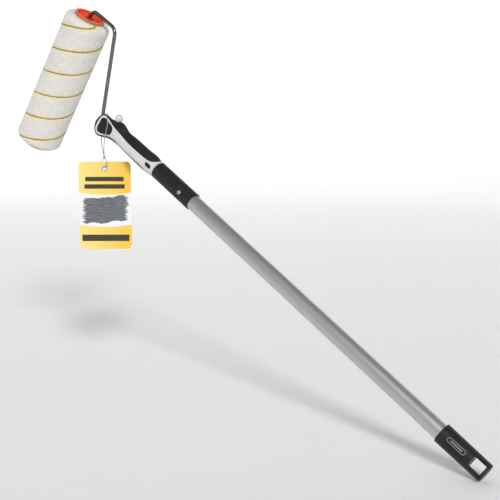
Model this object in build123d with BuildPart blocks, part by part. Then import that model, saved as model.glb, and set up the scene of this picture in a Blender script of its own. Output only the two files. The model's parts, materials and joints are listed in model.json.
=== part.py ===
from build123d import *
import os
from math import cos, pi, radians, sin, tan

# Paint roller on a telescopic pole, in millimetres, +Z up.
# Origin: centre of the pole's foot face. The pole leans in the XZ plane, foot at the
# origin and head up towards -X. Everything else is placed by its distance along the pole.

# ---------------------------------------------------------------- driving dimensions
LEAN = 34.0                 # pole's angle above the ground, degrees

FIT_GAP = 0.05              # radial gap of a sliding or turning fit
SEAT_GAP = 0.3              # gap between faces of different moving pieces
TAPER_GAP = 0.25            # gap between the lock's cone and its sleeve

OUTER_OD = 25.0             # outer tube
OUTER_WALL = 1.2
OUTER_TOP = 655.0           # outer tube's upper end, from the foot
INNER_OD = 22.0             # inner tube
INNER_WALL = 1.0
INNER_BOTTOM = 88.0         # inner tube's lower end when pushed home

CAP_LENGTH = 77.4           # foot cap
CAP_WALL = 2.5
CAP_TAPER = 0.7             # how much smaller the cap's radius is at the foot
CAP_SOCKET = 31.0           # where the tube ends inside the cap
CAP_FOOT_ROUND = 1.6
CAP_RIM_ROUND = 0.8
CAP_TURN = 29.0             # cap's label side, turned about the pole from -Y towards +Z
WINDOW_LONG = 20.0          # hanging window through the cap
WINDOW_WIDE = 14.0
WINDOW_MIDDLE = 14.0
WINDOW_CORNER = 1.2
LABEL_LONG = 31.0           # raised blank label field
LABEL_WIDE = 8.0
LABEL_MIDDLE = 49.5
LABEL_RISE = 0.2            # above the cap's full radius
LABEL_END = 3.9             # rounding of the field's ends
LABEL_RIM = 1.1

COLLAR_BOTTOM = 594.7       # riveted collar at the outer tube's upper end
COLLAR_TOP = 681.6
COLLAR_OD = 28.4
COLLAR_LOW_ROUND = 0.9
COLLAR_TOP_ROUND = 1.2
RIVET_AT = 618.0
RIVET_TURN = 12.0
RIVET_SHANK = 3.2
RIVET_HEAD = 6.4
RIVET_RISE = 0.9
RIVET_SPOT = 0.5            # depth of the flat that its head sits on
RIVET_WALL = 0.7
RIVET_ROUND = 0.6
BUSH_LENGTH = 22.0

SLEEVE_BOTTOM = 50.0        # expanding sleeve of the twist lock
SLEEVE_TOP = 84.0
SLEEVE_SLOT = 2.0
SLEEVE_SLOTS = 3
SLOT_SHARE = 0.75           # share of the sleeve that is slotted
SLEEVE_PLAY = 0.08          # its radial gap in the outer tube when free
CONE_BOTTOM = 44.2          # cone nut that spreads the sleeve
CONE_LENGTH = 16.0
CONE_RIM = 4.0
CONE_WIDE = 19.0
CONE_NARROW = 15.0
CONE_KEY = 2.4              # ribs that keep the cone from turning in the sleeve
STUD_OD = 7.8
STUD_BOTTOM = 37.0
STUD_IN_PLUG = 22.0
STUD_CHAMFER = 0.8
STUD_PROUD = 1.0            # how far the stud stands out of its nut
NUT_ACROSS = 13.0
NUT_THICK = 5.0
PLUG_LENGTH = 30.0
PLUG_RIM = 2.0
PLUG_PIN = 4.0
PIN_SHORT = 0.2             # how far the pin's ends stay inside the tube's surface

TIP_IN_TUBE = 40.0          # spigot on the inner tube's upper end that carries the head
TIP_RIM = 2.5
TIP_OD = 18.0
TIP_CHAMFER = 2.0
TIP_END = 735.0
INNER_TOP = 683.0

HANDLE_REAR = COLLAR_TOP + SEAT_GAP
SKIN = 1.8                  # soft skin over the handle core
INSET_DEPTH = 1.4
SOCKET_DEEP = 738.0
# Handle cross-sections: (distance along the pole, centre height, half height, half thickness)
HANDLE_SECTIONS = [
    (HANDLE_REAR, 0.0, 14.2, 14.2),
    (692.0, -0.9, 15.7, 13.7),
    (712.0, -1.3, 16.5, 13.2),
    (738.0, -1.4, 16.2, 12.6),
    (757.0, -1.5, 15.6, 12.1),
    (772.0, -1.0, 15.4, 11.6),
    (786.0, 0.6, 18.2, 10.8),
    (797.0, -1.6, 17.8, 10.0),
    (806.0, -5.0, 17.6, 9.5),
    (816.0, -8.2, 19.0, 9.0),
    (825.0, -9.8, 20.6, 8.4),
    (831.0, -10.6, 18.8, 7.4),
    (835.5, -11.0, 14.4, 5.8),
    (838.6, -11.6, 8.4, 3.6),
]
BALL_AT = (798.5, 20.5)     # thumb rest: (distance along the pole, height)
BALL_R = 7.0
PEG_OD = 5.0
# Edge of the hard side panel in the side view, from the rear ring's top round the nose and back
PANEL_EDGE = [(686.0, 25.0), (688.3, 11.2), (696.3, 7.3), (712.0, 5.1), (731.0, 4.3),
              (757.0, 4.5), (779.0, 6.5), (803.0, 8.2), (820.0, 9.2), (828.3, 7.2),
              (830.6, -0.6), (830.9, -12.0), (830.3, -21.0), (825.0, -25.4),
              (816.5, -23.6), (806.0, -18.0), (797.0, -14.2), (785.0, -11.2),
              (770.0, -11.2), (750.0, -12.0), (730.0, -11.6), (712.0, -11.0),
              (702.5, -13.0), (698.0, -25.0)]
# Edge of the soft inset in the nose, a rounded drop
INSET_EDGE = [(825.0, 4.8), (819.0, 7.0), (807.4, 6.0), (795.0, 4.0), (792.3, -2.0),
              (796.2, -10.1), (804.5, -15.0), (816.9, -19.9), (824.3, -20.4),
              (826.7, -13.0), (826.3, -3.0)]

BUTTON_AT = 695.0           # latch button in the side of the handle's rear ring
BUTTON_LONG = 13.6
BUTTON_WIDE = 6.6
BUTTON_TRAVEL = 2.0
BUTTON_FACE = 13.9          # how far its face stands from the pole's axis
BUTTON_FOOT = 6.2
BUTTON_FLANGE = 1.4
BUTTON_LIP = 1.0
BUTTON_ROUND = 0.8
SPRING_FLOOR = 2.5
SPRING_STRIP = 0.4
SPRING_WIDE = 3.0

WIRE_OD = 6.5               # bent steel frame
WIRE_TAIL = 745.0           # its end inside the handle
WIRE_CORNER = 831.0         # where it turns from the handle's axis to the arm
WIRE_CORNER_R = 14.0
ARM_OFFSET = 61.5           # from the roller's axis to the outer bend
ARM_RISE = 13.2             # from the cover's end to the cross bar
ARM_BEND_R = 16.0
HUB_BEND_R = 11.0
WIRE_END_ROUND = 1.2
ROLLER_AT = 944.0           # roller's axis, from the foot

COVER_LENGTH = 250.0        # cover with its plugs
COVER_OD = 78.0
CORE_OD = 51.0
CORE_WALL = 1.5
NAP_SHORT = 3.0             # how far the nap stops short of the core's ends
NAP_ROUND = 9.0
PLUG_FLANGE = 1.6
PLUG_SKIRT = 16.0
PLUG_SKIN = 2.0
HUB_OD = 17.0
DISH_DEEP = 4.0
BUSH_OD = 12.0
GUIDE_OD = 9.6
GUIDE_PLAY = 0.2            # radial gap between the guide tube and the wire
WASHER_OD = 14.0
WASHER_THICK = 1.2
WASHER_GAP = 0.3

CARD_WIDE = 88.0            # hang tag
CARD_TALL = 148.0
CARD_THICK = 0.9
CARD_CORNER = 7.0
CARD_TURN = 36.4            # card's face, turned about the vertical from -Y towards +X
EYE_BELOW_EDGE = 11.5
EYE_BORE = 5.4
EYE_OD = 9.4
EYE_RISE = 0.5
EYE_WALL = 0.5
EYE_ROUND = 0.2
EYE_X = -686.5
EYE_Z = 380.6
LOOP_R = 8.0                # small ring through the eyelet
LOOP_WIRE = 1.2
LOOP_PLAY = 0.9             # its gap to the eyelet's edge
LOOP_TURN = 42.0            # ring's plane, turned from the card's normal
STRING_OD = 1.6
STRING_CURVE = 0.45         # share of the shorter run that each of its arcs takes
KNOT_R = 2.4
# String's route from the knot up the nose's front, over its top and down its back
STRING_ROUTE = [(-680.5, -7.5, 417.0), (-672.5, -13.0, 436.0), (-669.5, -14.0, 455.0),
                (-670.5, -11.0, 469.0), (-672.0, -5.0, 476.5), (-674.5, 5.0, 476.5),
                (-681.5, 11.5, 466.0), (-691.5, 13.8, 450.0), (-697.5, 11.5, 432.0),
                (-694.0, 6.0, 416.0)]

# ---------------------------------------------------------------- frames
ALONG = Vector(-cos(radians(LEAN)), 0, sin(radians(LEAN)))
ACROSS = Vector(sin(radians(LEAN)), 0, cos(radians(LEAN)))
POLE = Plane(origin=(0, 0, 0), x_dir=ACROSS, z_dir=ALONG)      # x up, y back, z along
SIDE = Plane(origin=(0, 0, 0), x_dir=ALONG, z_dir=(0, 1, 0))   # x along, y up
FLAT = Plane(origin=(0, 0, 0), x_dir=ALONG, z_dir=ACROSS)      # x along, y towards the front
POLE_AXIS = Axis((0, 0, 0), ALONG)
ROLLER_AXIS = Axis(ALONG * ROLLER_AT, ACROSS)

os.makedirs("parts", exist_ok=True)


def save(piece, label):
    piece.part.label = label
    export_step(piece.part, f"parts/{label}.step")


def facing(turn, out=0.0, at=0.0):
    """Plane on the pole's axis that looks out sideways, turned from -Y towards +Z."""
    normal = Vector(0, -1, 0) * cos(radians(turn)) + ACROSS * sin(radians(turn))
    return Plane(origin=ALONG * at + normal * out, x_dir=ALONG, z_dir=normal)


# ---------------------------------------------------------------- outer pole
outer_bore = OUTER_OD / 2 - OUTER_WALL

with BuildPart() as outer_tube:
    with BuildSketch(POLE.offset(CAP_SOCKET)):
        Circle(OUTER_OD / 2)
        Circle(outer_bore, mode=Mode.SUBTRACT)
    extrude(amount=OUTER_TOP - CAP_SOCKET)
    with BuildSketch(facing(RIVET_TURN, 0, RIVET_AT)):
        Circle(RIVET_SHANK / 2)
    extrude(amount=OUTER_OD, mode=Mode.SUBTRACT)
save(outer_tube, "outer_tube")

rivet_seat = COLLAR_OD / 2 - RIVET_SPOT
cap_r = OUTER_OD / 2 + CAP_WALL
with BuildPart() as end_cap:
    with BuildSketch(POLE):
        Circle(cap_r - CAP_TAPER)
    with BuildSketch(POLE.offset(CAP_LENGTH)):
        Circle(cap_r)
    loft()
    fillet(end_cap.edges().sort_by(POLE_AXIS)[0], radius=CAP_FOOT_ROUND)
    fillet(end_cap.edges().sort_by(POLE_AXIS)[-1], radius=CAP_RIM_ROUND)
    with BuildSketch(facing(CAP_TURN, 0, LABEL_MIDDLE)):
        RectangleRounded(LABEL_LONG, LABEL_WIDE, LABEL_END)
        RectangleRounded(LABEL_LONG - 2 * LABEL_RIM, LABEL_WIDE - 2 * LABEL_RIM,
                         LABEL_END - LABEL_RIM, mode=Mode.SUBTRACT)
    extrude(amount=cap_r + LABEL_RISE)
    with BuildSketch(facing(CAP_TURN, 0, WINDOW_MIDDLE)):
        RectangleRounded(WINDOW_LONG, WINDOW_WIDE, WINDOW_CORNER)
    extrude(amount=2 * cap_r, both=True, mode=Mode.SUBTRACT)
    with BuildSketch(POLE.offset(CAP_SOCKET)):
        Circle(OUTER_OD / 2)
    extrude(amount=CAP_LENGTH, mode=Mode.SUBTRACT)
save(end_cap, "end_cap")

with BuildPart() as collar:
    with BuildSketch(POLE.offset(COLLAR_BOTTOM)):
        Circle(COLLAR_OD / 2)
        Circle(OUTER_OD / 2, mode=Mode.SUBTRACT)
    extrude(amount=COLLAR_TOP - COLLAR_BOTTOM)
    outer_edges = collar.edges().filter_by(GeomType.CIRCLE).group_by(SortBy.RADIUS)[-1]
    fillet(outer_edges.sort_by(POLE_AXIS)[0], radius=COLLAR_LOW_ROUND)
    fillet(collar.edges().filter_by(GeomType.CIRCLE).group_by(SortBy.RADIUS)[-1]
           .sort_by(POLE_AXIS)[-1], radius=COLLAR_TOP_ROUND)
    with BuildSketch(facing(RIVET_TURN, 0, RIVET_AT)):
        Circle(RIVET_SHANK / 2)
    extrude(amount=COLLAR_OD, mode=Mode.SUBTRACT)
    with BuildSketch(facing(RIVET_TURN, rivet_seat, RIVET_AT)):
        Circle(RIVET_HEAD / 2)
    extrude(amount=COLLAR_OD, mode=Mode.SUBTRACT)
save(collar, "collar")

with BuildPart() as guide_bush:
    with BuildSketch(POLE.offset(OUTER_TOP)):
        Circle(OUTER_OD / 2)
        Circle(INNER_OD / 2 + FIT_GAP, mode=Mode.SUBTRACT)
    extrude(amount=BUSH_LENGTH)
save(guide_bush, "guide_bush")

with BuildPart() as collar_rivet:
    with BuildSketch(facing(RIVET_TURN, rivet_seat, RIVET_AT)):
        Circle(RIVET_HEAD / 2)
    extrude(amount=RIVET_SPOT + RIVET_RISE)
    fillet(collar_rivet.edges().sort_by(Axis((0, 0, 0), facing(RIVET_TURN).z_dir))[-1],
           radius=RIVET_ROUND)
    with BuildSketch(facing(RIVET_TURN, outer_bore + FIT_GAP, RIVET_AT)):
        Circle(RIVET_SHANK / 2)
    extrude(amount=rivet_seat - outer_bore)
    with BuildSketch(facing(RIVET_TURN, outer_bore + RIVET_RISE, RIVET_AT)):
        Circle(RIVET_SHANK / 2 - RIVET_WALL)
    extrude(amount=COLLAR_OD / 2, mode=Mode.SUBTRACT)
save(collar_rivet, "collar_rivet")

# ---------------------------------------------------------------- twist lock
sleeve_r = outer_bore - SLEEVE_PLAY
cone_slope = (CONE_WIDE - CONE_NARROW) / 2 / (CONE_LENGTH - CONE_RIM)
cone_shoulder = CONE_BOTTOM + CONE_RIM

with BuildPart() as expander_sleeve:
    with BuildSketch(POLE.offset(SLEEVE_BOTTOM)):
        Circle(sleeve_r)
    extrude(amount=SLEEVE_TOP - SLEEVE_BOTTOM)
    with BuildSketch(SIDE):
        with BuildLine():
            low = CONE_WIDE / 2 + TAPER_GAP - cone_slope * (SLEEVE_BOTTOM - cone_shoulder)
            high_at = CONE_BOTTOM + CONE_LENGTH + SEAT_GAP
            high = CONE_WIDE / 2 + TAPER_GAP - cone_slope * (high_at - cone_shoulder)
            Polyline((SLEEVE_BOTTOM, 0), (SLEEVE_BOTTOM, low), (high_at, high),
                     (high_at + high, STUD_OD / 2 + FIT_GAP),
                     (SLEEVE_TOP, STUD_OD / 2 + FIT_GAP), (SLEEVE_TOP, 0), close=True)
        make_face()
    revolve(axis=POLE_AXIS, mode=Mode.SUBTRACT)
    with BuildSketch(POLE.offset(SLEEVE_BOTTOM)):
        with PolarLocations(sleeve_r, SLEEVE_SLOTS):
            Rectangle(sleeve_r, SLEEVE_SLOT)
    extrude(amount=(SLEEVE_TOP - SLEEVE_BOTTOM) * SLOT_SHARE, mode=Mode.SUBTRACT)
save(expander_sleeve, "expander_sleeve")

with BuildPart() as cone_nut:
    with BuildSketch(SIDE):
        with BuildLine():
            bore = STUD_OD / 2 + FIT_GAP
            Polyline((CONE_BOTTOM, bore), (CONE_BOTTOM, CONE_WIDE / 2),
                     (cone_shoulder, CONE_WIDE / 2),
                     (CONE_BOTTOM + CONE_LENGTH, CONE_NARROW / 2),
                     (CONE_BOTTOM + CONE_LENGTH, bore), close=True)
        make_face()
    revolve(axis=POLE_AXIS)
    with BuildSketch(POLE.offset(SLEEVE_BOTTOM + SEAT_GAP)):
        with PolarLocations(CONE_WIDE / 2, SLEEVE_SLOTS):
            Rectangle(CONE_KEY, SLEEVE_SLOT - 2 * SEAT_GAP)
    extrude(amount=CONE_RIM)
save(cone_nut, "cone_nut")

inner_bore = INNER_OD / 2 - INNER_WALL
with BuildPart() as lock_plug:
    with BuildSketch(POLE.offset(INNER_BOTTOM)):
        Circle(inner_bore)
    extrude(amount=PLUG_LENGTH)
    with BuildSketch(POLE.offset(INNER_BOTTOM - PLUG_RIM)):
        Circle(INNER_OD / 2)
    extrude(amount=PLUG_RIM)
    with BuildSketch(POLE.offset(INNER_BOTTOM - PLUG_RIM)):
        Circle(STUD_OD / 2)
    extrude(amount=PLUG_RIM + STUD_IN_PLUG, mode=Mode.SUBTRACT)
    with BuildSketch(SIDE):
        with Locations((INNER_BOTTOM + PLUG_LENGTH - PLUG_PIN, 0)):
            Circle(PLUG_PIN / 2)
    extrude(amount=INNER_OD, both=True, mode=Mode.SUBTRACT)
save(lock_plug, "lock_plug")

with BuildPart() as plug_pin:
    with BuildSketch(SIDE):
        with Locations((INNER_BOTTOM + PLUG_LENGTH - PLUG_PIN, 0)):
            Circle(PLUG_PIN / 2)
    extrude(amount=INNER_OD / 2 - PIN_SHORT, both=True)
save(plug_pin, "plug_pin")

with BuildPart() as lock_stud:
    with BuildSketch(POLE.offset(STUD_BOTTOM)):
        Circle(STUD_OD / 2)
    extrude(amount=INNER_BOTTOM + STUD_IN_PLUG - STUD_BOTTOM)
    chamfer(lock_stud.edges().sort_by(POLE_AXIS)[0], STUD_CHAMFER)
save(lock_stud, "lock_stud")

with BuildPart() as stud_nut:
    with BuildSketch(POLE.offset(STUD_BOTTOM + STUD_PROUD)):
        RegularPolygon(NUT_ACROSS / 2, 6, major_radius=False)
        Circle(STUD_OD / 2, mode=Mode.SUBTRACT)
    extrude(amount=NUT_THICK)
save(stud_nut, "stud_nut")

with BuildPart() as inner_tube:
    with BuildSketch(POLE.offset(INNER_BOTTOM)):
        Circle(INNER_OD / 2)
        Circle(inner_bore, mode=Mode.SUBTRACT)
    extrude(amount=INNER_TOP - INNER_BOTTOM)
    with BuildSketch(SIDE):
        with Locations((INNER_BOTTOM + PLUG_LENGTH - PLUG_PIN, 0)):
            Circle(PLUG_PIN / 2)
    extrude(amount=INNER_OD, both=True, mode=Mode.SUBTRACT)
save(inner_tube, "inner_tube")

# ---------------------------------------------------------------- pole tip and latch
flange_long = BUTTON_LONG + 2 * BUTTON_LIP
flange_wide = BUTTON_WIDE + 2 * BUTTON_LIP
flange_top = BUTTON_FOOT + BUTTON_FLANGE

with BuildPart() as pole_tip:
    with BuildSketch(POLE.offset(INNER_TOP - TIP_IN_TUBE)):
        Circle(inner_bore)
    extrude(amount=TIP_IN_TUBE)
    with BuildSketch(POLE.offset(INNER_TOP)):
        Circle(INNER_OD / 2)
    extrude(amount=TIP_RIM)
    with BuildSketch(POLE.offset(INNER_TOP)):
        Circle(TIP_OD / 2)
    extrude(amount=TIP_END - INNER_TOP)
    chamfer(pole_tip.edges().sort_by(POLE_AXIS)[-1], TIP_CHAMFER)
    with BuildSketch(facing(0, SPRING_FLOOR, BUTTON_AT)):
        SlotOverall(flange_long + 2 * SEAT_GAP, flange_wide + 2 * SEAT_GAP)
    extrude(amount=TIP_OD, mode=Mode.SUBTRACT)
save(pole_tip, "pole_tip")

with BuildPart() as release_button:
    with BuildSketch(facing(0, BUTTON_FOOT, BUTTON_AT)):
        SlotOverall(BUTTON_LONG, BUTTON_WIDE)
    extrude(amount=BUTTON_FACE - BUTTON_FOOT)
    fillet(release_button.edges().group_by(Axis.Y)[0], radius=BUTTON_ROUND)
    with BuildSketch(facing(0, BUTTON_FOOT, BUTTON_AT)):
        SlotOverall(flange_long, flange_wide)
    extrude(amount=BUTTON_FLANGE)
save(release_button, "release_button")

with BuildPart() as button_spring:
    with BuildSketch(FLAT):
        with BuildLine():
            half = BUTTON_LONG / 2 - BUTTON_LIP
            crown = BUTTON_FOOT - SPRING_STRIP
            ThreePointArc((BUTTON_AT - half, SPRING_FLOOR), (BUTTON_AT, crown),
                          (BUTTON_AT + half, SPRING_FLOOR))
            Line((BUTTON_AT + half, SPRING_FLOOR),
                 (BUTTON_AT + half + SPRING_STRIP, SPRING_FLOOR))
            ThreePointArc((BUTTON_AT + half + SPRING_STRIP, SPRING_FLOOR),
                          (BUTTON_AT, BUTTON_FOOT),
                          (BUTTON_AT - half - SPRING_STRIP, SPRING_FLOOR))
            Line((BUTTON_AT - half - SPRING_STRIP, SPRING_FLOOR),
                 (BUTTON_AT - half, SPRING_FLOOR))
        make_face()
    extrude(amount=SPRING_WIDE / 2, both=True)
save(button_spring, "button_spring")


# ---------------------------------------------------------------- wire frame
def wire_route():
    """Centre line of the bent steel wire: (distance along the pole, height)."""
    bar = COVER_LENGTH / 2 + ARM_RISE
    return [(WIRE_TAIL, 0), (WIRE_CORNER, 0), (ROLLER_AT - ARM_OFFSET, bar),
            (ROLLER_AT, bar), (ROLLER_AT, -COVER_LENGTH / 2 + DISH_DEEP)]


with BuildPart() as wire_frame:
    with BuildLine(SIDE) as wire_line:
        FilletPolyline(*wire_route(), radius=[WIRE_CORNER_R, ARM_BEND_R, HUB_BEND_R])
    with BuildSketch(POLE.offset(WIRE_TAIL)):
        Circle(WIRE_OD / 2)
    sweep(path=wire_line.line)
    fillet(wire_frame.edges().sort_by(ROLLER_AXIS)[0], radius=WIRE_END_ROUND)
save(wire_frame, "wire_frame")


# ---------------------------------------------------------------- handle
def handle_body(inset):
    """Handle's outer form, shrunk all round by inset: oval sections lofted along it."""
    with BuildPart() as form:
        for at, centre, half_height, half_thick in HANDLE_SECTIONS:
            with BuildSketch(POLE.offset(at)):
                with Locations((centre, 0)):
                    Ellipse(half_height - inset, half_thick - inset)
        loft()
    return form.part


handle_form = handle_body(0)
core_whole = handle_body(SKIN)
with BuildPart() as core_form:
    add(core_whole)
    split(bisect_by=POLE.offset(HANDLE_SECTIONS[-1][0] - SKIN), keep=Keep.BOTTOM)

with BuildPart() as panel_area:
    with BuildSketch(SIDE):
        with BuildLine():
            edge = Spline(*PANEL_EDGE)
            Polyline(edge @ 1, (HANDLE_REAR - SKIN, PANEL_EDGE[-1][1]),
                     (HANDLE_REAR - SKIN, PANEL_EDGE[0][1]), edge @ 0)
        make_face()
    extrude(amount=COLLAR_OD, both=True)

with BuildPart() as inset_area:
    with BuildSketch(SIDE):
        with BuildLine():
            Spline(*INSET_EDGE, periodic=True)
        make_face()
    extrude(amount=COLLAR_OD)

with BuildPart() as thumb_rest:
    with BuildSketch(POLE.offset(BALL_AT[0])):
        with Locations((BALL_AT[1] - BALL_R, 0)):
            Rectangle(2 * BALL_R, PEG_OD)
    extrude(amount=PEG_OD / 2, both=True)
    with Locations(ALONG * BALL_AT[0] + ACROSS * BALL_AT[1]):
        Sphere(BALL_R)
save(thumb_rest, "thumb_rest")

with BuildPart() as grip_overmould:
    add(handle_form)
    add(core_form.part, mode=Mode.SUBTRACT)
    add(panel_area.part, mode=Mode.SUBTRACT)
    add(thumb_rest.part, mode=Mode.SUBTRACT)
    add(wire_frame.part, mode=Mode.SUBTRACT)
save(grip_overmould, "grip_overmould")

inset_floor = handle_body(INSET_DEPTH)
inset_pieces = []
for side_name, mirrored in (("back", False), ("front", True)):
    with BuildPart() as nose_inset:
        add(inset_area.part)
        if mirrored:
            mirror(about=SIDE, mode=Mode.REPLACE)
        add(handle_form, mode=Mode.INTERSECT)
        add(inset_floor, mode=Mode.SUBTRACT)
    save(nose_inset, f"nose_inset_{side_name}")
    inset_pieces.append(nose_inset.part)

with BuildPart() as handle_core:
    add(handle_form)
    add(grip_overmould.part, mode=Mode.SUBTRACT)
    add(inset_pieces, mode=Mode.SUBTRACT)
    add(thumb_rest.part, mode=Mode.SUBTRACT)
    add(wire_frame.part, mode=Mode.SUBTRACT)
    with BuildSketch(POLE.offset(HANDLE_REAR)):
        Circle(TIP_OD / 2 + FIT_GAP)
    extrude(amount=SOCKET_DEEP - HANDLE_REAR, mode=Mode.SUBTRACT)
    with BuildSketch(POLE.offset(HANDLE_REAR)):
        Circle(INNER_OD / 2 + FIT_GAP)
    extrude(amount=INNER_TOP + TIP_RIM - HANDLE_REAR, mode=Mode.SUBTRACT)
    with BuildSketch(facing(0, 0, BUTTON_AT)):
        SlotOverall(BUTTON_LONG + 2 * FIT_GAP, BUTTON_WIDE + 2 * FIT_GAP)
    extrude(amount=COLLAR_OD, mode=Mode.SUBTRACT)
save(handle_core, "handle_core")

# ---------------------------------------------------------------- roller cover
wire_r = WIRE_OD / 2
core_bore = CORE_OD / 2 - CORE_WALL
cover_end = COVER_LENGTH / 2


def around_roller(*outline):
    """Ring turned about the roller's axis: outline as (radius, distance along the axis)."""
    with BuildPart() as ring:
        with BuildSketch(SIDE):
            with BuildLine():
                Polyline(*[(ROLLER_AT + r, z) for r, z in outline], close=True)
            make_face()
        revolve(axis=ROLLER_AXIS)
    return ring


core_tube = around_roller((core_bore, -cover_end), (CORE_OD / 2, -cover_end),
                          (CORE_OD / 2, cover_end), (core_bore, cover_end))
save(core_tube, "core_tube")

nap_end = cover_end - NAP_SHORT
nap_ring = around_roller((CORE_OD / 2, -nap_end), (COVER_OD / 2, -nap_end),
                         (COVER_OD / 2, nap_end), (CORE_OD / 2, nap_end))
with BuildPart() as nap_cover:
    add(nap_ring.part)
    nap_rims = nap_cover.edges().filter_by(GeomType.CIRCLE).group_by(SortBy.RADIUS)[-1]
    fillet(nap_rims, radius=NAP_ROUND)
save(nap_cover, "nap_cover")

hub_end = cover_end - DISH_DEEP + PLUG_SKIN
bush_end = hub_end + WASHER_GAP
for label, way in (("near", 1), ("far", -1)):
    end_plug = around_roller(
        (BUSH_OD / 2 + FIT_GAP, way * (hub_end - PLUG_SKIRT)),
        (HUB_OD / 2, way * (hub_end - PLUG_SKIRT)),
        (HUB_OD / 2, way * (cover_end - DISH_DEEP - PLUG_SKIN)),
        (core_bore - PLUG_SKIN, way * (cover_end - DISH_DEEP - PLUG_SKIN)),
        (core_bore - PLUG_SKIN, way * (cover_end - PLUG_SKIRT)),
        (core_bore, way * (cover_end - PLUG_SKIRT)),
        (core_bore, way * cover_end),
        (CORE_OD / 2, way * cover_end),
        (CORE_OD / 2, way * (cover_end + PLUG_FLANGE)),
        (core_bore - PLUG_SKIN, way * (cover_end + PLUG_FLANGE)),
        (core_bore - PLUG_SKIN, way * (cover_end - DISH_DEEP)),
        (HUB_OD / 2, way * (cover_end - DISH_DEEP)),
        (HUB_OD / 2, way * hub_end),
        (BUSH_OD / 2 + FIT_GAP, way * hub_end))
    save(end_plug, f"{label}_plug")
    bush = around_roller(
        (wire_r + FIT_GAP, way * (hub_end - PLUG_SKIRT)),
        (BUSH_OD / 2, way * (hub_end - PLUG_SKIRT)),
        (BUSH_OD / 2, way * bush_end),
        (wire_r + FIT_GAP, way * bush_end))
    save(bush, f"{label}_bush")

guide_end = hub_end - PLUG_SKIRT
guide_tube = around_roller((wire_r + GUIDE_PLAY, -guide_end), (GUIDE_OD / 2, -guide_end),
                           (GUIDE_OD / 2, guide_end), (wire_r + GUIDE_PLAY, guide_end))
save(guide_tube, "guide_tube")

washer_at = bush_end + WASHER_GAP
stop_washer = around_roller((wire_r, washer_at), (WASHER_OD / 2, washer_at),
                            (WASHER_OD / 2, washer_at + WASHER_THICK),
                            (wire_r, washer_at + WASHER_THICK))
save(stop_washer, "stop_washer")

# ---------------------------------------------------------------- hang tag
card_out = Vector(sin(radians(CARD_TURN)), -cos(radians(CARD_TURN)), 0)
card_right = Vector(cos(radians(CARD_TURN)), sin(radians(CARD_TURN)), 0)
EYE = Vector(EYE_X, 0, EYE_Z)
CARD = Plane(origin=EYE, x_dir=card_right, z_dir=card_out)

with BuildPart() as hang_tag:
    with BuildSketch(CARD):
        with Locations((0, EYE_BELOW_EDGE - CARD_TALL / 2)):
            RectangleRounded(CARD_WIDE, CARD_TALL, CARD_CORNER)
        Circle(EYE_BORE / 2 + EYE_WALL, mode=Mode.SUBTRACT)
    extrude(amount=CARD_THICK / 2, both=True)
save(hang_tag, "hang_tag")

with BuildPart() as tag_eyelet:
    with BuildSketch(CARD):
        Circle(EYE_BORE / 2 + EYE_WALL)
    extrude(amount=CARD_THICK / 2, both=True)
    for face in (CARD.offset(CARD_THICK / 2), CARD.offset(-CARD_THICK / 2 - EYE_RISE)):
        with BuildSketch(face):
            Circle(EYE_OD / 2)
        extrude(amount=EYE_RISE)
    with BuildSketch(CARD):
        Circle(EYE_BORE / 2)
    extrude(amount=CARD_THICK + 2 * EYE_RISE, both=True, mode=Mode.SUBTRACT)
    bore_rims = tag_eyelet.edges().filter_by(GeomType.CIRCLE).group_by(SortBy.RADIUS)[0]
    fillet(bore_rims, radius=EYE_ROUND)
save(tag_eyelet, "tag_eyelet")

loop_low = EYE_BORE / 2 - LOOP_WIRE / 2 - LOOP_PLAY
loop_way = card_out * cos(radians(LOOP_TURN)) + card_right * sin(radians(LOOP_TURN))
loop_middle = EYE + Vector(0, 0, loop_low + LOOP_R)
with BuildPart() as tag_ring:
    with Locations(Plane(origin=loop_middle, x_dir=loop_way,
                         z_dir=loop_way.cross(Vector(0, 0, 1)))):
        Torus(LOOP_R, LOOP_WIRE / 2)
save(tag_ring, "tag_ring")

knot_at = loop_middle + Vector(0, 0, LOOP_R + KNOT_R - LOOP_WIRE / 2)
with BuildPart() as string_knot:
    with Locations(knot_at):
        Sphere(KNOT_R)
save(string_knot, "string_knot")


def cord_radii(points):
    """Each corner's arc: its share of the shorter run over the tangent of half the turn."""
    runs = [b - a for a, b in zip(points, points[1:])]
    return [STRING_CURVE * min(before.length, after.length)
            / tan(radians(before.get_angle(after)) / 2)
            for before, after in zip(runs, runs[1:])]


string_points = [Vector(*point) for point in STRING_ROUTE]
string_start, string_end = [knot_at + (point - knot_at).normalized() * KNOT_R / 2
                            for point in (string_points[0], string_points[-1])]
string_points = [string_start] + string_points + [string_end]
string_radii = cord_radii(string_points)
with BuildPart() as tag_string:
    with BuildLine() as string_line:
        FilletPolyline(*string_points, radius=string_radii)
    with BuildSketch(Plane(origin=string_start, z_dir=string_start - knot_at)):
        Circle(STRING_OD / 2)
    sweep(path=string_line.line)
save(tag_string, "tag_string")

string_long = sum(edge.length for edge in string_line.edges())
print("string radii", [round(radius, 1) for radius in string_radii])
print("string length", round(string_long, 1), "volume over section times length",
      round(tag_string.part.volume / (pi * (STRING_OD / 2) ** 2 * string_long), 4))
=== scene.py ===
import json
import math

import bmesh
import bpy
from mathutils import Matrix, Vector, noise


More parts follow.
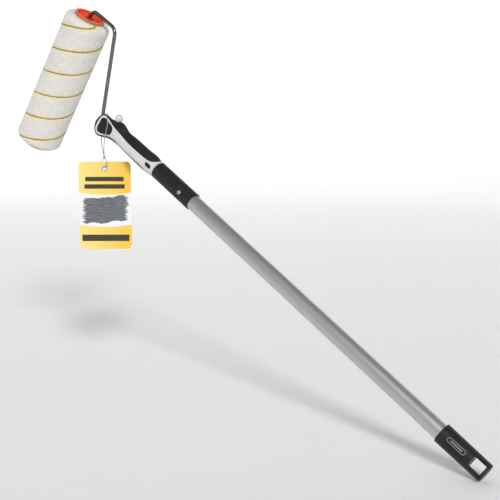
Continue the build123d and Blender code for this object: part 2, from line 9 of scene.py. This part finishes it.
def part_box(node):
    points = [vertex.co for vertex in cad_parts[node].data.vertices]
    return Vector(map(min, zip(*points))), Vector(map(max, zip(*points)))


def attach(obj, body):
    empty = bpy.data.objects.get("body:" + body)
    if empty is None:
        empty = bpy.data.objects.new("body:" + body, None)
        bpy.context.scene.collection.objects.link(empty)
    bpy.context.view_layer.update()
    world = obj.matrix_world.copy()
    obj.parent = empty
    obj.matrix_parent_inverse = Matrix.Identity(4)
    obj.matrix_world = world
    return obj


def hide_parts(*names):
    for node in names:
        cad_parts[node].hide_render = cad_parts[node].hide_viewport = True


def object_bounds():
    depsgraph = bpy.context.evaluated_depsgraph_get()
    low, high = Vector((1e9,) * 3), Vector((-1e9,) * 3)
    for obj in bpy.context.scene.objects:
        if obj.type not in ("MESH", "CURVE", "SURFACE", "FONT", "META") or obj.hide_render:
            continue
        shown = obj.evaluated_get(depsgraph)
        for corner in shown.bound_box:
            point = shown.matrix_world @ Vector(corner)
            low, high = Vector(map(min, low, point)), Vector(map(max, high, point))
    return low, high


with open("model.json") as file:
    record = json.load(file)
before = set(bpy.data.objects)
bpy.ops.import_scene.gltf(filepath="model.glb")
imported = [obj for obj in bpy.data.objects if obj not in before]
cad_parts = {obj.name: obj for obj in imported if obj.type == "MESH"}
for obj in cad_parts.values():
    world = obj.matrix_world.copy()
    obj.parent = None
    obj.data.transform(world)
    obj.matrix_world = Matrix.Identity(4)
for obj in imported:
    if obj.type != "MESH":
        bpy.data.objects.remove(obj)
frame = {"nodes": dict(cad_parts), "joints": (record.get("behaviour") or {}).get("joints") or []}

cad_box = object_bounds()

# ---------------------------------------------------------------- camera
# Stands off the roller's right front, a little above it, and looks at the middle of the pole.
# The pole's foot is the nearest part and the roller the furthest.
CAMERA_AT = (0.446988, -1.126451, 0.449213)
CAMERA_RIGHT = Vector((0.80532534, 0.59283189, -0.00120288))
CAMERA_UP = Vector((-0.07621003, 0.10553838, 0.99149064))
CAMERA_LENS = 67.34
camera_data = bpy.data.cameras.new("camera")
camera_data.lens = CAMERA_LENS
camera_data.sensor_width = 36
camera = bpy.data.objects.new("camera", camera_data)
camera_back = CAMERA_RIGHT.cross(CAMERA_UP)
camera.rotation_euler = Matrix((CAMERA_RIGHT, CAMERA_UP, camera_back)).transposed().to_euler()
camera.location = CAMERA_AT
bpy.context.collection.objects.link(camera)
bpy.context.scene.camera = camera

# ---------------------------------------------------------------- tag string
# Grey cotton thread of three twisted strands, 1.6 mm thick and about 18 cm long. It leaves a
# knot at the card's ring, runs up the front of the handle's nose, over its top and down the
# back, and ends in the same knot.
STRING_THICK = 0.0016
KNOT_R = 0.0024
STRING_ROUTE = [(-0.6805, -0.0070, 0.4170), (-0.6720, -0.0120, 0.4340),
                (-0.6660, -0.0138, 0.4460), (-0.6638, -0.0130, 0.4560),
                (-0.6675, -0.0100, 0.4645), (-0.6745, -0.0050, 0.4720),
                (-0.6805, 0.0050, 0.4720), (-0.6900, 0.0110, 0.4630),
                (-0.6995, 0.0130, 0.4490), (-0.7055, 0.0125, 0.4330),
                (-0.7020, 0.0095, 0.4180)]
STRING_GREY = (0.30, 0.29, 0.27)


def finish_of(name, colour, rough, metal=0.0, **sockets):
    """New material: itself, its shader, and a function that adds a linked node to it."""
    mat = bpy.data.materials.new(name)
    mat.use_nodes = True
    tree = mat.node_tree
    shader = tree.nodes["Principled BSDF"]
    plain = {"Base Color": (*colour, 1), "Roughness": rough, "Metallic": metal}
    plain.update({key.replace("_", " "): value for key, value in sockets.items()})
    for key, value in plain.items():
        shader.inputs[key].default_value = value

    def add(kind, **values):
        made = tree.nodes.new("ShaderNode" + kind)
        for key, value in values.items():
            spaced = key.replace("_", " ")
            if key[0] == "i" and key[1:].isdigit():
                target = made.inputs[int(key[1:])]
            elif spaced in made.inputs:
                target = made.inputs[spaced]
            else:
                setattr(made, key, value)
                continue
            if isinstance(value, bpy.types.NodeSocket):
                tree.links.new(value, target)
            else:
                target.default_value = value
        return made.outputs[0]

    def wire_up(socket, value):
        tree.links.new(value, shader.inputs[socket])

    return mat, wire_up, add


def calc(add, operation, first, second=0.0, clamp=False):
    return add("Math", operation=operation, use_clamp=clamp, i0=first, i1=second)


def spot_on(add, axes=None, centre=(0, 0, 0), stretch=(1, 1, 1)):
    """Place on the piece in metres, turned to the given axes and divided by the stretch."""
    where = add("TexCoord").node.outputs["Object"]
    turn = (axes or Matrix.Identity(3)).to_euler()
    return add("Mapping", vector_type="TEXTURE", Vector=where, Location=centre,
               Rotation=turn, Scale=stretch)


def blended(add, fac, dark, light, low=0.0, high=1.0):
    """Colour that runs from dark to light as fac goes from low to high."""
    share = add("MapRange", Value=fac, i1=low, i2=high)
    return add("MixRGB", Fac=share, Color1=(*dark, 1), Color2=(*light, 1))


def mottled(wire_up, add, fac, colour, swing, rough, rough_swing):
    """Colour and roughness that vary with fac, by the given shares, around their means."""
    dark = tuple(c * (1 - swing) for c in colour)
    light = tuple(min(1.0, c * (1 + swing)) for c in colour)
    wire_up("Base Color", blended(add, fac, dark, light, 0.25, 0.75))
    wire_up("Roughness", add("MapRange", Value=fac, i1=0.25, i2=0.75,
                             i3=rough - rough_swing, i4=rough + rough_swing))


def embossed(wire_up, add, height, depth, under=None):
    values = {"Height": height, "Distance": depth}
    if under is not None:
        values["Normal"] = under
    bump = add("Bump", **values)
    wire_up("Normal", bump)
    return bump


def thread_finish(name, colour):
    mat, wire_up, add = finish_of(name, colour, 0.9, Sheen_Weight=0.3)
    fluff = add("TexNoise", Vector=spot_on(add), Scale=2600.0, Detail=3.0)
    mottled(wire_up, add, fluff, colour, 0.35, 0.88, 0.08)
    embossed(wire_up, add, fluff, 0.0002)
    return mat


def line_mesh(points, radius, closed=False, sides=3):
    """Round tube along the points, as a mesh. sides is how finely its round is cut."""
    curve = bpy.data.curves.new("line", "CURVE")
    curve.dimensions = "3D"
    spline = curve.splines.new("POLY")
    spline.points.add(len(points) - 1)
    for spot, place in zip(spline.points, points):
        spot.co = (*place, 1)
    spline.use_cyclic_u = closed
    curve.bevel_depth = radius
    curve.bevel_resolution = sides
    curve.use_fill_caps = True
    holder = bpy.data.objects.new("line", curve)
    mesh = bpy.data.meshes.new_from_object(holder)
    bpy.data.objects.remove(holder)
    return mesh


def piece(name, mesh, mat, body, stands_for=(), smooth=40):
    """Finished mesh as an object at the origin, with its finish, body and replaced nodes."""
    if isinstance(mesh, bmesh.types.BMesh):
        data = bpy.data.meshes.new(name)
        mesh.to_mesh(data)
        mesh.free()
    else:
        data = mesh
    data.materials.clear()
    data.materials.append(mat)
    data.shade_smooth()
    data.set_sharp_from_angle(angle=math.radians(smooth))
    made = bpy.data.objects.new(name, data)
    bpy.context.collection.objects.link(made)
    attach(made, body)
    if stands_for:
        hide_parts(*stands_for)
    return made


def middle(node):
    low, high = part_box(node)
    return (low + high) / 2


knot_middle = middle("string_knot")
string_route = [Vector(p) for p in STRING_ROUTE]
string_ends = [knot_middle + (p - knot_middle).normalized() * KNOT_R / 2
               for p in (string_route[0], string_route[-1])]
string_route = [string_ends[0]] + string_route + [string_ends[1]]
string_curve = bpy.data.curves.new("string_run", "CURVE")
string_curve.dimensions = "3D"
string_spline = string_curve.splines.new("NURBS")
string_spline.points.add(len(string_route) - 1)
for spot, place in zip(string_spline.points, string_route):
    spot.co = (*place, 1)
string_spline.order_u = 3
string_spline.use_endpoint_u = True
string_spline.resolution_u = 24
string_holder = bpy.data.objects.new("string_run", string_curve)
run_mesh = bpy.data.meshes.new_from_object(string_holder)
string_run = [v.co.copy() for v in run_mesh.vertices]
bpy.data.objects.remove(string_holder)
STRAND_R = 0.0004
STRAND_PITCH = 0.0052
string_mat = thread_finish("string_cotton", STRING_GREY)
string_mesh = bmesh.new()
for strand in range(3):
    wound = []
    travelled = 0.0
    side = (string_run[1] - string_run[0]).orthogonal().normalized()
    for i, centre in enumerate(string_run):
        ahead = string_run[min(i + 1, len(string_run) - 1)]
        behind = string_run[max(i - 1, 0)]
        way = (ahead - behind).normalized()
        side = (side - way * side.dot(way)).normalized()
        travelled += (centre - behind).length
        turn = 2 * math.pi * (strand / 3 + travelled / STRAND_PITCH)
        wound.append(centre + (side * math.cos(turn) + way.cross(side) * math.sin(turn))
                     * STRAND_R)
    strand_mesh = line_mesh(wound, STRAND_R, sides=2)
    string_mesh.from_mesh(strand_mesh)
    bpy.data.meshes.remove(strand_mesh)
tag_string = piece("string", string_mesh, string_mat, "head", ["tag_string"], 70)

# The knot is pulled small: the thread winds three times round itself and its end tucks in.
KNOT_STEPS = 90
KNOT_DEEP = 0.001
KNOT_REACH = KNOT_R / 4.4
KNOT_THREAD = 0.42          # radius of its thread as a share of the string's thickness
knot_line = []
for step in range(KNOT_STEPS):
    t = 2 * math.pi * step / KNOT_STEPS
    reach = (2 + math.cos(3 * t)) * KNOT_REACH
    knot_line.append(knot_middle + Vector((reach * math.cos(2 * t),
                                           math.sin(3 * t) * KNOT_DEEP,
                                           reach * math.sin(2 * t))))
knot_mesh = line_mesh(knot_line, STRING_THICK * KNOT_THREAD, closed=True)
knot = piece("knot", knot_mesh, string_mat, "head", ["string_knot"], 60)


# ---------------------------------------------------------------- pole tubes
# Two drawn aluminium tubes, satin anodised. The 25 mm outer one shows between the foot cap
# and the collar; the inner one slides in it and carries the handle.
joint = {j["name"]: j for j in frame["joints"]}
ALONG = Vector(joint["extend"]["axis"])
ACROSS = Vector(joint["roller_spin"]["axis"])
DEPTH = ALONG.cross(ACROSS)
POLE_AXES = Matrix((ACROSS, DEPTH, ALONG)).transposed()


def dress(mat, *nodes):
    """Gives the finish to nodes that keep their own shape."""
    for name in nodes:
        node = frame["nodes"][name]
        node.data.materials.clear()
        node.data.materials.append(mat)


TUBE_SILVER = (0.56, 0.565, 0.575)
tube_mat, wire_up, add = finish_of("satin_aluminium", TUBE_SILVER, 0.38, 1.0)
drawn = add("TexNoise", Vector=spot_on(add, POLE_AXES, stretch=(1, 1, 60)),
            Scale=1800.0, Detail=4.0)
mottled(wire_up, add, drawn, TUBE_SILVER, 0.07, 0.36, 0.06)
embossed(wire_up, add, drawn, 0.00004)
dress(tube_mat, "outer_tube", "inner_tube")

# ---------------------------------------------------------------- foot cap and collar
# Injection-moulded black polypropylene with a fine spark-eroded texture. The cap is pushed on
# the foot end; the collar sits on the upper end and is held by a hollow rivet.
CAP_BLACK = (0.012, 0.012, 0.013)


def moulded(name, colour, rough, grain, depth, **sockets):
    """Plain moulding with a fine even grain, in metres, and slow changes in gloss."""
    mat, wire_up, add = finish_of(name, colour, rough, **sockets)
    fine = add("TexNoise", Vector=spot_on(add), Scale=1 / grain, Detail=3.0)
    slow = add("TexNoise", Vector=spot_on(add), Scale=0.05 / grain, Detail=4.0)
    mottled(wire_up, add, slow, colour, 0.22, rough, 0.07)
    embossed(wire_up, add, fine, depth)
    return mat


cap_mat = moulded("black_moulding", CAP_BLACK, 0.42, 0.0006, 0.00006, Specular_IOR_Level=0.3)
dress(cap_mat, "end_cap", "collar", "release_button")

# A plain grey frame and one bar are printed on the cap's raised field, which faces the user
# and a little upwards.
PRINT_GREY = (0.20, 0.205, 0.21)
PRINT_OUT = 0.0152          # from the pole's axis
PRINT_MIDDLE = 0.0495       # along the pole
PRINT_TURN = math.radians(29)
PRINT_LINES = [(0.0152, 0.0037, 0.0010), (0.0100, 0.0010, 0.0020)]  # half long, half wide, line
PRINT_SINK = 0.0004
PRINT_THICK = 0.00012
PRINT_STEPS = 64
NARROWEST = 0.00005
print_side = ACROSS * math.sin(PRINT_TURN) - DEPTH * math.cos(PRINT_TURN)
print_wide = print_side.cross(ALONG)
print_mesh = bmesh.new()
for half_long, half_wide, line in PRINT_LINES:
    ring = []
    for grow in (0.0, line):
        row = []
        for step in range(PRINT_STEPS):
            turn = 2 * math.pi * step / PRINT_STEPS
            straight = math.copysign(half_long - half_wide, math.cos(turn))
            span = max(NARROWEST, half_wide - grow)
            row.append((straight + span * math.cos(turn), span * math.sin(turn)))
        ring.append(row)
    levels = []
    for row, lift in ((ring[0], -PRINT_SINK), (ring[0], PRINT_THICK), (ring[1], PRINT_THICK),
                      (ring[1], -PRINT_SINK)):
        made = []
        for along, wide in row:
            made.append(print_mesh.verts.new(ALONG * (PRINT_MIDDLE + along)
                                             + print_wide * wide
                                             + print_side * (PRINT_OUT + lift)))
        levels.append(made)
    for low, high in zip(levels, levels[1:] + levels[:1]):
        for k in range(PRINT_STEPS):
            after = (k + 1) % PRINT_STEPS
            print_mesh.faces.new((low[k], low[after], high[after], high[k]))
bmesh.ops.recalc_face_normals(print_mesh, faces=print_mesh.faces)
piece("cap_print", print_mesh, moulded("print_ink", PRINT_GREY, 0.5, 0.0008, 0.00002),
      "outer_pole")

# ---------------------------------------------------------------- small steel parts
# Turned and pressed steel, bright zinc plated: the collar's rivet, the lock's stud, nut and
# pin, the latch's leaf spring and the tag's eyelet.
ZINC = (0.58, 0.59, 0.60)


def metal(name, colour, rough, grain, depth, swing=0.15):
    mat, wire_up, add = finish_of(name, colour, rough, 1.0)
    cloud = add("TexNoise", Vector=spot_on(add), Scale=1 / grain, Detail=4.0)
    mottled(wire_up, add, cloud, colour, swing, rough, 0.07)
    embossed(wire_up, add, cloud, depth)
    return mat


zinc_mat = metal("zinc_plate", ZINC, 0.28, 0.002, 0.00003)
dress(zinc_mat, "collar_rivet", "plug_pin", "lock_stud", "stud_nut", "button_spring",
      "tag_eyelet")

# ---------------------------------------------------------------- twist lock
# Acetal sleeve and guide bush, left in their natural milky white, around black nylon parts:
# the cone nut that spreads the sleeve, the plug in the inner tube and the handle's spigot.
LOCK_WHITE = (0.74, 0.73, 0.69)
LOCK_BLACK = (0.03, 0.03, 0.03)
dress(moulded("natural_acetal", LOCK_WHITE, 0.35, 0.0012, 0.00003,
              Subsurface_Weight=0.15, Subsurface_Scale=0.003),
      "expander_sleeve", "guide_bush", "guide_tube")
dress(moulded("black_nylon", LOCK_BLACK, 0.4, 0.0008, 0.00005),
      "cone_nut", "lock_plug", "pole_tip")

# ---------------------------------------------------------------- handle
# Hard silver-painted body with black soft rubber moulded over its top, rim and underside, two
# black inserts in the nose, and a light-grey dome for the thumb.
RUBBER = (0.011, 0.011, 0.012)
BODY_SILVER = (0.74, 0.745, 0.75)
DOME_GREY = (0.60, 0.60, 0.60)
rubber_mat, wire_up, add = finish_of("soft_rubber", RUBBER, 0.5, Specular_IOR_Level=0.28)
pebble = add("TexVoronoi", Vector=spot_on(add), Scale=1100.0, feature="SMOOTH_F1")
worn = add("TexNoise", Vector=spot_on(add), Scale=60.0, Detail=5.0)
mottled(wire_up, add, worn, RUBBER, 0.25, 0.55, 0.08)
embossed(wire_up, add, pebble, 0.00018)
dress(rubber_mat, "grip_overmould")
dress(moulded("insert_rubber", RUBBER, 0.55, 0.0009, 0.0001, Specular_IOR_Level=0.25),
      "nose_inset_front", "nose_inset_back")
body_mat, wire_up, add = finish_of("silver_body", BODY_SILVER, 0.38, 0.3)
flake = add("TexVoronoi", Vector=spot_on(add), Scale=1500.0)
mottled(wire_up, add, flake, BODY_SILVER, 0.10, 0.38, 0.05)
embossed(wire_up, add, flake, 0.00006)
dress(body_mat, "handle_core")
dress(moulded("dome_plastic", DOME_GREY, 0.3, 0.0012, 0.00003), "thumb_rest")

# ---------------------------------------------------------------- frame wire
# One 6.5 mm round steel wire, bent cold in three places and bright chrome plated.
# Its colour is painted far darker than bright chrome. This is painted shade that stands in for
# the dark reflections along the wire.
CHROME_PAINTED_DARK = (0.20, 0.202, 0.205)
dress(metal("chrome_plate_painted_dark", CHROME_PAINTED_DARK, 0.15, 0.012, 0.00003, 0.10), "wire_frame")

# ---------------------------------------------------------------- roller ends and core
# Orange-red polypropylene end plugs pressed into a wound paper tube, turning on dark-red
# bearing bushes.
PLUG_ORANGE = (0.80, 0.085, 0.025)
BUSH_RED = (0.22, 0.014, 0.012)
CORE_BROWN = (0.34, 0.22, 0.12)
dress(moulded("orange_plug", PLUG_ORANGE, 0.34, 0.0009, 0.00004, Coat_Weight=0.15),
      "near_plug", "far_plug")
dress(moulded("red_bush", BUSH_RED, 0.32, 0.0009, 0.00004), "near_bush", "far_bush",
      "stop_washer")
dress(moulded("wound_paper", CORE_BROWN, 0.8, 0.0015, 0.0001), "core_tube")

# ---------------------------------------------------------------- woven nap
# Off-white polyamide pile, about 13 mm deep, woven round the core with two gold threads that
# run round it as spirals 44 mm apart. The pile is clipped even and rounded over at both ends.
NAP_WHITE = (0.74, 0.715, 0.67)
THREAD_GOLD = (0.30, 0.225, 0.055)
THREAD_HALO = (0.84, 0.71, 0.36)
NAP_CELL = 0.00115
NAP_ROUND = 0.009
NAP_DARK = (0.72, 0.70, 0.655)
NAP_LIGHT = (0.82, 0.80, 0.76)
NAP_SHADE = (0.80, 0.785, 0.75)
THREAD_LEAD = 0.0872
THREAD_START = 0.0176       # along the cover, where a thread passes its back
THREAD_R = 0.0010
HALO_WIDE = 0.0070
GROOVE = 0.0008             # depth of the dip that a thread makes in the pile
GROOVE_WIDE = 0.0022
LUMP = 0.0010               # how far the pile's surface wanders
PILE_START = 0.004          # depth over which the wander grows from nothing at the core
COARSE_SHARE, COARSE_SCALE = 0.45, 110
FINE_SHARE, FINE_SCALE = 0.35, 520
YARN_STEPS = 220            # per turn
YARN_STRAY = 0.0006
YARN_END = 0.002            # from the cover's end
THREAD_GAP = THREAD_LEAD / 2
roller_pos = Vector(joint["roller_spin"]["pos_m"])
NAP_R = (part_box("nap_cover")[1].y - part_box("nap_cover")[0].y) / 2
CORE_R = (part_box("core_tube")[1].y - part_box("core_tube")[0].y) / 2
NAP_HALF = max((v.co - roller_pos).dot(ACROSS)
               for v in frame["nodes"]["nap_cover"].data.vertices)
to_roller = (Matrix.Translation(roller_pos)
             @ Matrix((DEPTH, ALONG, ACROSS)).transposed().to_4x4())


def off_thread(angle, height):
    """Distance along the cover from the nearest gold thread, with its sign."""
    past = (height - THREAD_START - THREAD_LEAD * angle / (2 * math.pi)) / THREAD_GAP
    return (past - round(past)) * THREAD_GAP


nap_mesh = bmesh.new()
outline = [Vector((CORE_R, 0, -NAP_HALF)), Vector((NAP_R - NAP_ROUND, 0, -NAP_HALF))]
turns = round(NAP_ROUND * math.pi / 2 / NAP_CELL)
for step in range(1, turns):
    bend = math.pi / 2 * step / turns
    outline.append(Vector((NAP_R - NAP_ROUND * (1 - math.sin(bend)), 0,
                           -NAP_HALF + NAP_ROUND * (1 - math.cos(bend)))))
runs = round(2 * (NAP_HALF - NAP_ROUND) / NAP_CELL)
for step in range(runs + 1):
    outline.append(Vector((NAP_R, 0, (NAP_HALF - NAP_ROUND) * (2 * step / runs - 1))))
outline += [Vector((p.x, 0, -p.z)) for p in reversed(outline[:turns + 1])]
corners = [nap_mesh.verts.new(p) for p in outline]
loop = [nap_mesh.edges.new(pair) for pair in zip(corners, corners[1:] + corners[:1])]
bmesh.ops.subdivide_edges(nap_mesh, edges=[loop[0], loop[-2]], cuts=8)
bmesh.ops.spin(nap_mesh, geom=nap_mesh.verts[:] + nap_mesh.edges[:], axis=(0, 0, 1),
               cent=(0, 0, 0), steps=round(2 * math.pi * NAP_R / NAP_CELL),
               angle=2 * math.pi, use_merge=True)
bmesh.ops.recalc_face_normals(nap_mesh, faces=nap_mesh.faces)
nap_mesh.normal_update()
for v in nap_mesh.verts:
    reach = math.hypot(v.co.x, v.co.y)
    pile = min(1.0, max(0.0, (reach - CORE_R) / PILE_START))
    coarse = noise.fractal(v.co * COARSE_SCALE, 1.0, 2.0, 4)
    fine = noise.noise(v.co * FINE_SCALE)
    beside = off_thread(math.atan2(v.co.y, v.co.x), v.co.z) / GROOVE_WIDE
    dip = GROOVE * math.exp(-beside ** 2)
    v.co += v.normal * pile * (LUMP * (COARSE_SHARE * coarse + FINE_SHARE * fine) - dip)
uv = nap_mesh.loops.layers.uv.new("nap")
for face in nap_mesh.faces:
    centre = face.calc_center_median()
    facing = math.atan2(centre.y, centre.x)
    for corner in face.loops:
        co = corner.vert.co
        turned = math.atan2(co.y, co.x)
        turned += 2 * math.pi * round((facing - turned) / (2 * math.pi))
        corner[uv].uv = (turned / math.pi, (co.z - THREAD_START) / THREAD_GAP)
bmesh.ops.transform(nap_mesh, matrix=to_roller, verts=nap_mesh.verts)

nap_mat, wire_up, add = finish_of("woven_pile", NAP_WHITE, 0.95, Sheen_Weight=0.35,
                                  Sheen_Roughness=0.5)
lay = add("SeparateXYZ", Vector=add("TexCoord").node.outputs["UV"]).node
wander = add("TexNoise", Vector=spot_on(add), Scale=90.0, Detail=3.0)
past = calc(add, "SUBTRACT", lay.outputs["Y"], lay.outputs["X"])
past = calc(add, "ADD", past, calc(add, "MULTIPLY", calc(add, "SUBTRACT", wander, 0.5), 0.045))
past = calc(add, "FRACT", calc(add, "ADD", past, 100.5))
away = calc(add, "MULTIPLY", calc(add, "ABSOLUTE", calc(add, "SUBTRACT", past, 0.5)), THREAD_GAP)
fluff = add("TexNoise", Vector=spot_on(add), Scale=700.0, Detail=5.0, Roughness=0.65)
tufted = add("TexNoise", Vector=spot_on(add), Scale=170.0, Detail=4.0, Roughness=0.6)
base = blended(add, tufted, NAP_DARK, NAP_LIGHT, 0.3, 0.7)
base = add("MixRGB", blend_type="MULTIPLY", Fac=0.5, Color1=base,
           Color2=blended(add, fluff, NAP_SHADE, (1, 1, 1), 0.3, 0.6))
halo = add("MapRange", interpolation_type="SMOOTHSTEP", Value=away, i1=0.0008, i2=HALO_WIDE,
           i3=0.85, i4=0.0)
base = add("MixRGB", Fac=halo, Color1=base, Color2=(*THREAD_HALO, 1))
gold = add("MapRange", interpolation_type="SMOOTHSTEP", Value=away, i1=0.0005, i2=0.0016,
           i3=0.9, i4=0.0)
wire_up("Base Color", add("MixRGB", Fac=gold, Color1=base, Color2=(*THREAD_GOLD, 1)))
embossed(wire_up, add, fluff, 0.0010, embossed(wire_up, add, tufted, 0.0012))
nap = piece("nap", nap_mesh, nap_mat, "cover", ["nap_cover"], 80)

# Each gold thread is a thin twisted yarn that lies in its own groove in the pile.
gold_mat = thread_finish("gold_yarn", THREAD_GOLD)
for way in range(2):
    yarn = []
    steps = round(2 * NAP_HALF / THREAD_LEAD * YARN_STEPS)
    for step in range(steps + 1):
        height = (NAP_HALF - YARN_END) * (2 * step / steps - 1)
        angle = 2 * math.pi * ((height - THREAD_START) / THREAD_LEAD + way / 2)
        sunk = max(0.0, abs(height) - NAP_HALF + NAP_ROUND)
        reach = NAP_R - NAP_ROUND + math.sqrt(NAP_ROUND ** 2 - sunk ** 2) - GROOVE
        stray = noise.noise_vector(Vector((height * 400, way, 0))) * YARN_STRAY
        yarn.append(to_roller @ (Vector((reach * math.cos(angle), reach * math.sin(angle),
                                         height)) + stray))
    piece(f"gold_yarn_{way + 1}", line_mesh(yarn, THREAD_R, sides=1), gold_mat, "cover",
          smooth=80)

# ---------------------------------------------------------------- hang tag
# Golden-yellow coated card with rounded corners, 88 by 148 mm, printed with a curved white
# band that holds one grey brush stroke, and dark bars above and below it. Eyelet at the top.
CARD_YELLOW = (0.84, 0.53, 0.055)
CARD_PALE = (0.88, 0.69, 0.22)
CARD_WHITE = (0.82, 0.81, 0.80)
CARD_INK = (0.035, 0.028, 0.012)
STROKE_GREY = (0.075, 0.085, 0.095)
STROKE_PALE = (0.20, 0.215, 0.23)
CARD_HALF = 0.044
RING_GREY = (0.42, 0.42, 0.42)
BARS = [(-0.033, 0.032, 0.0255, 0.0330), (-0.0345, 0.0335, 0.0380, 0.0455),
        (-0.040, 0.040, 0.1235, 0.1345)]    # left, right, top and bottom below the card's top
BAND_TOP, BAND_FOOT, BAND_SAG = 0.0520, 0.1065, 0.0038
STROKE_TOP, STROKE_FOOT, STROKE_HALF = 0.0600, 0.1025, 0.0360
STROKE_RAGGED, STROKE_WAVE, STROKE_TILT = 0.03, 0.012, 0.07
card_out = Vector(joint["tag_swing"]["axis"])
card_wide = Vector((0, 0, 1)).cross(card_out)
card_low, card_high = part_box("hang_tag")
card_top = middle("hang_tag")
card_top.z = card_high.z
card_axes = Matrix((card_wide, Vector((0, 0, -1)), card_wide.cross(Vector((0, 0, -1))))
                   ).transposed()
card_mat, wire_up, add = finish_of("printed_card", CARD_YELLOW, 0.35, Coat_Weight=0.25,
                                   Coat_Roughness=0.15)
on_card = add("SeparateXYZ", Vector=spot_on(add, card_axes, card_top)).node
across, down = (on_card.outputs[k] for k in "XY")
speck = add("TexNoise", Vector=spot_on(add), Scale=900.0, Detail=3.0)
cloud = add("TexNoise", Vector=spot_on(add), Scale=16.0, Detail=2.0)


def inside(value, low, high, soft=0.00025):
    """1 between low and high, with soft edges, else 0."""
    rise = add("MapRange", Value=value, i1=low - soft, i2=low + soft)
    fall = add("MapRange", Value=value, i1=high - soft, i2=high + soft, i3=1.0, i4=0.0)
    return calc(add, "MULTIPLY", rise, fall)


slope = calc(add, "SUBTRACT", calc(add, "MULTIPLY", cloud, 0.05), across)
colour = blended(add, slope, CARD_YELLOW, CARD_PALE, -0.015, 0.065)
sag = calc(add, "MULTIPLY", calc(add, "MULTIPLY", across, across), BAND_SAG / CARD_HALF ** 2)
level = calc(add, "ADD", down, sag)
colour = add("MixRGB", Fac=inside(level, BAND_TOP + BAND_SAG, BAND_FOOT + BAND_SAG),
             Color1=colour, Color2=(*CARD_WHITE, 1))
for left, right, top, foot in BARS:
    bar = calc(add, "MULTIPLY", inside(across, left, right), inside(down, top, foot))
    colour = add("MixRGB", Fac=bar, Color1=colour, Color2=(*CARD_INK, 1))
bristle = add("TexNoise", Vector=spot_on(add, card_axes, card_top, (14, 1, 14)), Scale=900.0,
              Detail=3.0)
ragged = calc(add, "MULTIPLY", calc(add, "SUBTRACT", bristle, 0.5), STROKE_RAGGED)
end_reach = calc(add, "ADD", calc(add, "ABSOLUTE", across), ragged)
edge_wave = add("TexNoise", Vector=spot_on(add, card_axes, card_top), Scale=55.0, Detail=4.0)
edge_rise = calc(add, "MULTIPLY", calc(add, "SUBTRACT", edge_wave, 0.5), STROKE_WAVE)
edge_down = calc(add, "ADD", down, edge_rise)
tilt = calc(add, "ADD", edge_down, calc(add, "MULTIPLY", across, STROKE_TILT))
stroke = calc(add, "MULTIPLY", inside(end_reach, -1.0, STROKE_HALF, 0.0006),
              inside(tilt, STROKE_TOP, STROKE_FOOT, 0.0006))
stroke_ink = blended(add, bristle, STROKE_GREY, STROKE_PALE, 0.35, 0.75)
colour = add("MixRGB", Fac=stroke, Color1=colour, Color2=stroke_ink)
wire_up("Base Color", colour)
wire_up("Roughness", add("MapRange", Value=speck, i1=0.25, i2=0.75, i3=0.30, i4=0.42))
embossed(wire_up, add, speck, 0.00003)
dress(card_mat, "hang_tag")
dress(metal("ring_wire", RING_GREY, 0.35, 0.001, 0.00003), "tag_ring")

# ---------------------------------------------------------------- studio
# A pale seamless floor that curves up to a wall all round, one soft sun from the right front,
# and even light from above.
FLOOR_R = 4.2
WALL_R = 3.0
WALL_STEPS = 16
FOOT_LOW = 0.0119
FLOOR_GAP = 0.0002
FLOOR_WHITE = (0.94, 0.94, 0.94)
floor_level = min(cad_box[0][2], -FOOT_LOW) - FLOOR_GAP
floor_mesh = bmesh.new()
rim = [floor_mesh.verts.new((0, 0, 0))]
for reach in (0.4, 0.9, 1.6, 2.4, 3.3, FLOOR_R):
    rim.append(floor_mesh.verts.new((reach, 0, 0)))
for step in range(1, WALL_STEPS + 1):
    bend = math.pi / 2 * step / WALL_STEPS
    rim.append(floor_mesh.verts.new((FLOOR_R + WALL_R * math.sin(bend), 0,
                                     WALL_R * (1 - math.cos(bend)))))
rim.append(floor_mesh.verts.new((FLOOR_R + WALL_R, 0, 2 * WALL_R)))
for pair in zip(rim, rim[1:]):
    floor_mesh.edges.new(pair)
bmesh.ops.spin(floor_mesh, geom=floor_mesh.verts[:] + floor_mesh.edges[:], axis=(0, 0, 1),
               cent=(0, 0, 0), steps=96, angle=2 * math.pi, use_merge=True)
bmesh.ops.remove_doubles(floor_mesh, verts=floor_mesh.verts, dist=0.0001)
bmesh.ops.recalc_face_normals(floor_mesh, faces=floor_mesh.faces)
bmesh.ops.reverse_faces(floor_mesh, faces=floor_mesh.faces)
floor_data = bpy.data.meshes.new("floor")
floor_mesh.to_mesh(floor_data)
floor_mesh.free()
floor_data.shade_smooth()
floor = bpy.data.objects.new("floor", floor_data)
floor.location = (-0.35, -0.1, floor_level)
bpy.context.collection.objects.link(floor)
floor.visible_shadow = False
floor_mat, wire_up, add = finish_of("pale_floor", FLOOR_WHITE, 0.9)
floor_data.materials.append(floor_mat)

SKY_LIGHT = 0.31
world = bpy.data.worlds.new("studio")
world.use_nodes = True
sky = world.node_tree.nodes["Background"]
sky.inputs["Color"].default_value = (1, 1, 1, 1)
sky.inputs["Strength"].default_value = SKY_LIGHT
bpy.context.scene.world = world
bpy.context.scene.view_settings.view_transform = "Standard"

KEY_FROM = Vector((0.62, -0.555, 0.42))
key_data = bpy.data.lights.new("key", "SUN")
key_data.energy = 2.25
key_data.angle = math.radians(12)
key = bpy.data.objects.new("key", key_data)
key.rotation_euler = KEY_FROM.to_track_quat("Z", "Y").to_euler()
bpy.context.collection.objects.link(key)
